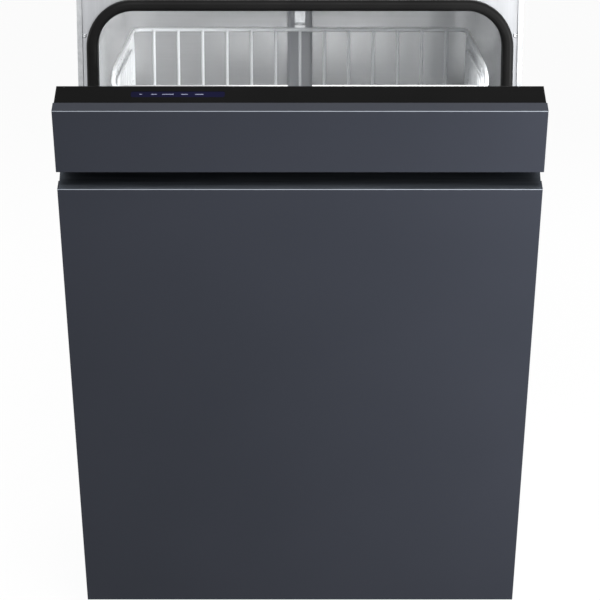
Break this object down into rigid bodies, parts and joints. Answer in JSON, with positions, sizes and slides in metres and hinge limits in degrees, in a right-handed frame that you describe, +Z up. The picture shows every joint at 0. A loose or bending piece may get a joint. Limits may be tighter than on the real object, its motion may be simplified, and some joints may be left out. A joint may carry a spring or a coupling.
{
  "type": "fully integrated dishwasher",
  "caption": "Built-in dishwasher with a furniture-fronted door standing ajar, a gap grip, a steel tub, wire baskets that follow the door and turning spray arms.",
  "frame": {"origin": "on the floor under the middle of the box that holds the machine with its door ajar", "axes": "+X to the right as seen from the front, +Y to the rear, +Z up; the door faces -Y"},
  "size_m": [0.598, 0.8584, 0.866],
  "materials": {
    "front_lacquer": "satin anthracite lacquer on board",
    "stainless": "bright rolled stainless",
    "galvanised": "zinc-coated sheet",
    "seal_rubber": "matt black rubber",
    "felt": "bitumen-backed felt",
    "strip_gloss": "piano black",
    "window_glass": "dark display window",
    "dark_profile": "dark anodised",
    "white_wire": "nylon-coated wire",
    "grey_plastic": "grey moulding",
    "dark_plastic": "black moulding"
  },
  "bodies": {
    "cabinet": {"base_tray": "grey_plastic", "circulation_pump": "dark_plastic", "door_springs": "galvanised", "drain_connector": "dark_plastic", "drain_pump": "dark_plastic", "fine_filter": "stainless", "front_frame": "stainless", "hinge_brackets": "galvanised", "inlet_valve": "dark_plastic", "insulation_mat": "felt", "latch_striker": "galvanised", "mains_inlet": "dark_plastic", "plinth_panel": "dark_plastic", "rail_outers": "galvanised", "rear_frame": "galvanised", "side_frames": "galvanised", "side_panels": "galvanised", "sump": "dark_plastic", "top_crossbar": "galvanised", "tub_back": "stainless", "tub_floor": "stainless", "tub_seal": "seal_rubber", "tub_wrap": "stainless", "water_riser": "grey_plastic", "water_softener": "dark_plastic"},
    "door": {"control_board": "dark_plastic", "control_strip": "strip_gloss", "dispenser_housing": "grey_plastic", "display_window": "window_glass", "door_latch": "dark_plastic", "door_liner": "stainless", "door_shell": "galvanised", "grip_profile": "dark_profile", "hinge_arms": "galvanised", "lip_seal": "seal_rubber", "lower_front_panel": "front_lacquer", "panel_screws": "galvanised", "upper_front_panel": "front_lacquer"},
    "upper_basket": {"upper_basket": "white_wire", "upper_feed_duct": "grey_plastic", "upper_handle": "stainless"},
    "lower_basket": {"lower_basket": "white_wire", "lower_handle": "stainless", "cutlery_basket": "grey_plastic"},
    "rail_middles": {"rail_middles": "galvanised"},
    "wheels_front": {"wheels_front": "grey_plastic"},
    "wheels_rear": {"wheels_rear": "grey_plastic"},
    "lower_arm": {"lower_spray_arm": "grey_plastic"},
    "upper_arm": {"upper_spray_arm": "grey_plastic"},
    "filter_cylinder": {"filter_cylinder": "grey_plastic"},
    "salt_cap": {"salt_cap": "grey_plastic"},
    "feet_front": {"feet_front": "dark_plastic"},
    "feet_rear": {"feet_rear": "dark_plastic"},
    "dispenser_flap": {"dispenser_flap": "grey_plastic"},
    "rinse_cap": {"rinse_cap": "grey_plastic"},
    "cup_shelf_left": {"cup_shelf_left": "white_wire"},
    "cup_shelf_right": {"cup_shelf_right": "white_wire"},
    "upper_tines": {"upper_tines": "white_wire"},
    "lower_tines": {"lower_tines": "white_wire"},
    "cutlery_lid": {"cutlery_lid": "grey_plastic"}
  },
  "joints": [
    {"name": "door_hinge", "type": "hinge", "parent": "cabinet", "child": "door", "pos_m": [0, -0.07477, 0.07], "axis": [1, 0, 0], "range_deg": [-22, 68], "stiffness_Nm_per_rad": 48.02, "springref_deg": -22, "deforming": ["door_springs"]},
    {"name": "upper_basket_slide", "type": "slide", "parent": "cabinet", "child": "upper_basket", "axis": [0, -1, 0], "range_m": [-0.1155, 0.3565]},
    {"name": "rail_middle_slide", "type": "slide", "parent": "cabinet", "child": "rail_middles", "axis": [0, -1, 0], "range_m": [-0.058, 0.1785]},
    {"name": "lower_basket_slide", "type": "slide", "parent": "cabinet", "child": "lower_basket", "axis": [0, -1, 0], "range_m": [-0.058, 0.1785]},
    {"name": "wheels_front_spin", "type": "hinge", "parent": "lower_basket", "child": "wheels_front", "pos_m": [0, -0.00737, 0.1822], "axis": [1, 0, 0], "continuous": true},
    {"name": "wheels_rear_spin", "type": "hinge", "parent": "lower_basket", "child": "wheels_rear", "pos_m": [0, 0.25863, 0.1822], "axis": [1, 0, 0], "continuous": true},
    {"name": "lower_arm_spin", "type": "hinge", "parent": "cabinet", "child": "lower_arm", "pos_m": [0, 0.18323, 0.1745], "axis": [0, 0, 1], "continuous": true},
    {"name": "upper_arm_spin", "type": "hinge", "parent": "upper_basket", "child": "upper_arm", "pos_m": [0, 0.06204, 0.4925], "axis": [0, 0, 1], "continuous": true},
    {"name": "filter_twist", "type": "hinge", "parent": "cabinet", "child": "filter_cylinder", "pos_m": [0, 0.13323, 0.13], "axis": [0, 0, 1], "range_deg": [0, 90]},
    {"name": "salt_cap_twist", "type": "hinge", "parent": "cabinet", "child": "salt_cap", "pos_m": [-0.165, 0.06323, 0.153], "axis": [0, 0, 1], "range_deg": [0, 90]},
    {"name": "feet_front_height", "type": "slide", "parent": "cabinet", "child": "feet_front", "axis": [0, 0, -1], "range_m": [0, 0.03]},
    {"name": "feet_rear_height", "type": "slide", "parent": "cabinet", "child": "feet_rear", "axis": [0, 0, -1], "range_m": [0, 0.03]},
    {"name": "dispenser_flap_hinge", "type": "hinge", "parent": "door", "child": "dispenser_flap", "pos_m": [-0.03, -0.17846, 0.41314], "axis": [-1, 0, 0], "range_deg": [0, 95]},
    {"name": "rinse_cap_twist", "type": "hinge", "parent": "door", "child": "rinse_cap", "pos_m": [0.056, -0.19494, 0.45286], "axis": [0, 0.9272, 0.3746], "range_deg": [0, 90]},
    {"name": "cup_shelf_left_hinge", "type": "hinge", "parent": "upper_basket", "child": "cup_shelf_left", "pos_m": [-0.2419, 0.02304, 0.668], "axis": [0, 1, 0], "range_deg": [0, 80]},
    {"name": "cup_shelf_right_hinge", "type": "hinge", "parent": "upper_basket", "child": "cup_shelf_right", "pos_m": [0.2419, 0.02304, 0.668], "axis": [0, -1, 0], "range_deg": [0, 80]},
    {"name": "upper_tines_hinge", "type": "hinge", "parent": "upper_basket", "child": "upper_tines", "pos_m": [0.07, 0.06204, 0.5311], "axis": [0, 1, 0], "range_deg": [0, 85]},
    {"name": "lower_tines_hinge", "type": "hinge", "parent": "lower_basket", "child": "lower_tines", "pos_m": [-0.07, 0.12463, 0.2011], "axis": [0, 1, 0], "range_deg": [0, 85]},
    {"name": "cutlery_lid_hinge", "type": "hinge", "parent": "lower_basket", "child": "cutlery_lid", "pos_m": [-0.1477, 0.07063, 0.31825], "axis": [0, 1, 0], "range_deg": [0, 105]}
  ],
  "couplings": [
    {"joint": "upper_basket_slide", "follows": "door_hinge", "m_per_rad": 0.3},
    {"joint": "rail_middle_slide", "follows": "door_hinge", "m_per_rad": 0.15},
    {"joint": "lower_basket_slide", "follows": "door_hinge", "m_per_rad": 0.15},
    {"joint": "wheels_front_spin", "follows": "door_hinge", "ratio": 8.8235},
    {"joint": "wheels_rear_spin", "follows": "door_hinge", "ratio": 8.8235}
  ]
}
